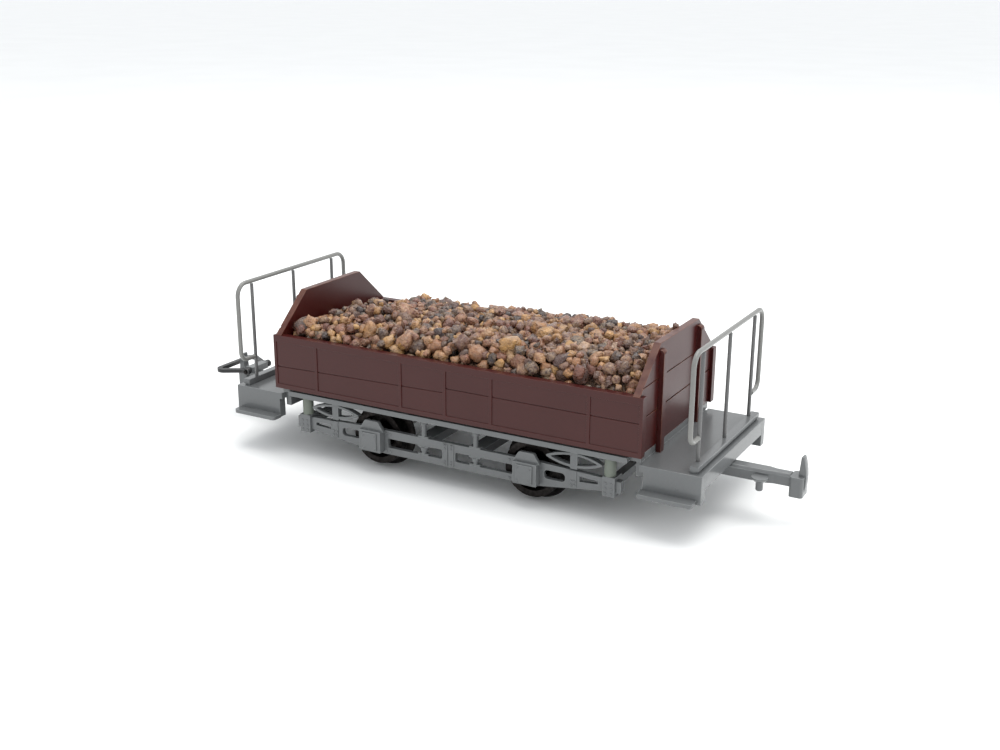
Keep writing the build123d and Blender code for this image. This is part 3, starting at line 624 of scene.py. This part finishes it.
# Pads of a slightly greener plastic lie between the truck's corners and the plate.
pad_grey = moulded_finish(
    "pad_plastic", colour(106, 112, 102), colour(98, 104, 95), colour(128, 132, 122), 0.42,
)
for node in ("corner_pads_left", "corner_pads_right"):
    moulding(node, 0.06, pad_grey)

# ======== End platforms ========
# Each platform is one grey moulding with an end beam and a pair of footsteps glued on. A screw
# through its tongue holds it under the body. A small nub from the mould stands on the front one.

for node in (
    "end_platform_front", "end_platform_rear", "end_beam_front", "end_beam_rear",
    "footsteps_front", "footsteps_rear",
):
    moulding(node, 0.05, grey)
for node in ("tongue_screw_front", "tongue_screw_rear"):
    moulding(node, 0.03, bright_steel)

platform_low, platform_high = (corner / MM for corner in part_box("end_platform_front"))
nub_place = (platform_high.x - 2.8, platform_low.y, platform_low.z + 1.3)
rivets("skirt_nub", [nub_place], 0.13, "wagon")

# ======== Wheelsets ========
# Turned steel wheels, blackened all over, are pressed on black plastic bushes on a bright steel
# axle. The axle's ends turn in brass cups set in the axle boxes.

black_steel = metal_finish("blackened_steel", colour(48, 45, 44), colour(32, 30, 29), 0.42, 0.4)
black_plastic = moulded_finish(
    "black_plastic", colour(38, 38, 39), colour(30, 30, 31), colour(84, 84, 84), 0.38,
)
brass = metal_finish("turned_brass", colour(196, 164, 96), colour(164, 132, 72), 0.3, 0.2)
for end in ("front", "rear"):
    moulding("axle_" + end, 0.03, bright_steel)
    moulding("wheels_" + end, 0.04, black_steel)
    moulding("wheel_bushes_" + end, 0.04, black_plastic)
for side in ("left", "right"):
    moulding("axle_cups_" + side, 0.03, brass)

# ======== Railings ========
# A grey plastic bar glued along the platform's edge carries three posts, and one bent wire makes
# the handrail. The bar overhangs its own narrower base, which leaves a dark line under it.

foot_overhang = 0.33
foot_reach = 0.5
foot_base_width = 0.77
foot_base_height = 0.21
foot_rounding = 0.09
for node, end in (("railing_foot_front", 1), ("railing_foot_rear", -1)):
    low, high = (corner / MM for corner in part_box(node))
    inner, outer = sorted((end * low.x, end * high.x))
    base_edge = inner + foot_base_width
    base_top = low.z + foot_base_height
    edge = outer + foot_overhang
    outline = [(inner, low.z), (base_edge, low.z), (base_edge, base_top)]
    outline += [(edge, base_top), (edge, high.z), (inner, high.z)]
    start = low.y - foot_reach
    length = high.y + foot_reach - start
    bm = bmesh.new()
    loop = [bm.verts.new(Vector((end * x, start, z)) * MM) for x, z in outline]
    grown = bmesh.ops.extrude_face_region(bm, geom=[bm.faces.new(loop)], use_keep_orig=True)
    bar_end = [v for v in grown["geom"] if isinstance(v, bmesh.types.BMVert)]
    bmesh.ops.translate(bm, verts=bar_end, vec=(0, length * MM, 0))
    bmesh.ops.recalc_face_normals(bm, faces=bm.faces)
    corners = [e for e in bm.edges if e.is_convex]
    bmesh.ops.bevel(
        bm, geom=corners, affect="EDGES", offset=foot_rounding * MM, segments=2, profile=0.5,
        material=-1,
    )
    foot = add_piece(node + "_moulding", bm, grey, frame["nodes"][node]["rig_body"])
    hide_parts(node)

# Each row below ends with how far the piece is drawn in all round, in millimetres.
rail_grey = moulded_finish(
    "railing_plastic", colour(126, 126, 123), colour(116, 116, 114), colour(160, 160, 157), 0.18,
)
post_grey = moulded_finish(
    "post_plastic", colour(104, 104, 104), colour(96, 96, 96), colour(132, 132, 130), 0.2,
)
for node, finish, thinner in (
    ("railing_posts_front", post_grey, 0.02),
    ("railing_posts_rear", post_grey, 0.02),
    ("handrail_front", rail_grey, 0.05),
    ("handrail_rear", rail_grey, 0.05),
):
    rail = moulding(node, 0.04, finish).data
    inward = [vert.co - vert.normal * thinner * MM for vert in rail.vertices]
    for vert, place in zip(rail.vertices, inward):
        vert.co = place

# ======== Couplers ========
# A grey drawbar with a moulded head swings on a screw under each platform. The rear head carries
# a black plastic loop on a blackened steel pin.

for end in ("front", "rear"):
    moulding("drawbar_" + end, 0.06, grey)
    moulding("coupler_head_" + end, 0.06, grey)
    moulding("drawbar_screw_" + end, 0.03, bright_steel)
moulding("loop_pin", 0.03, black_steel)
moulding("coupling_loop", 0.08, black_plastic)
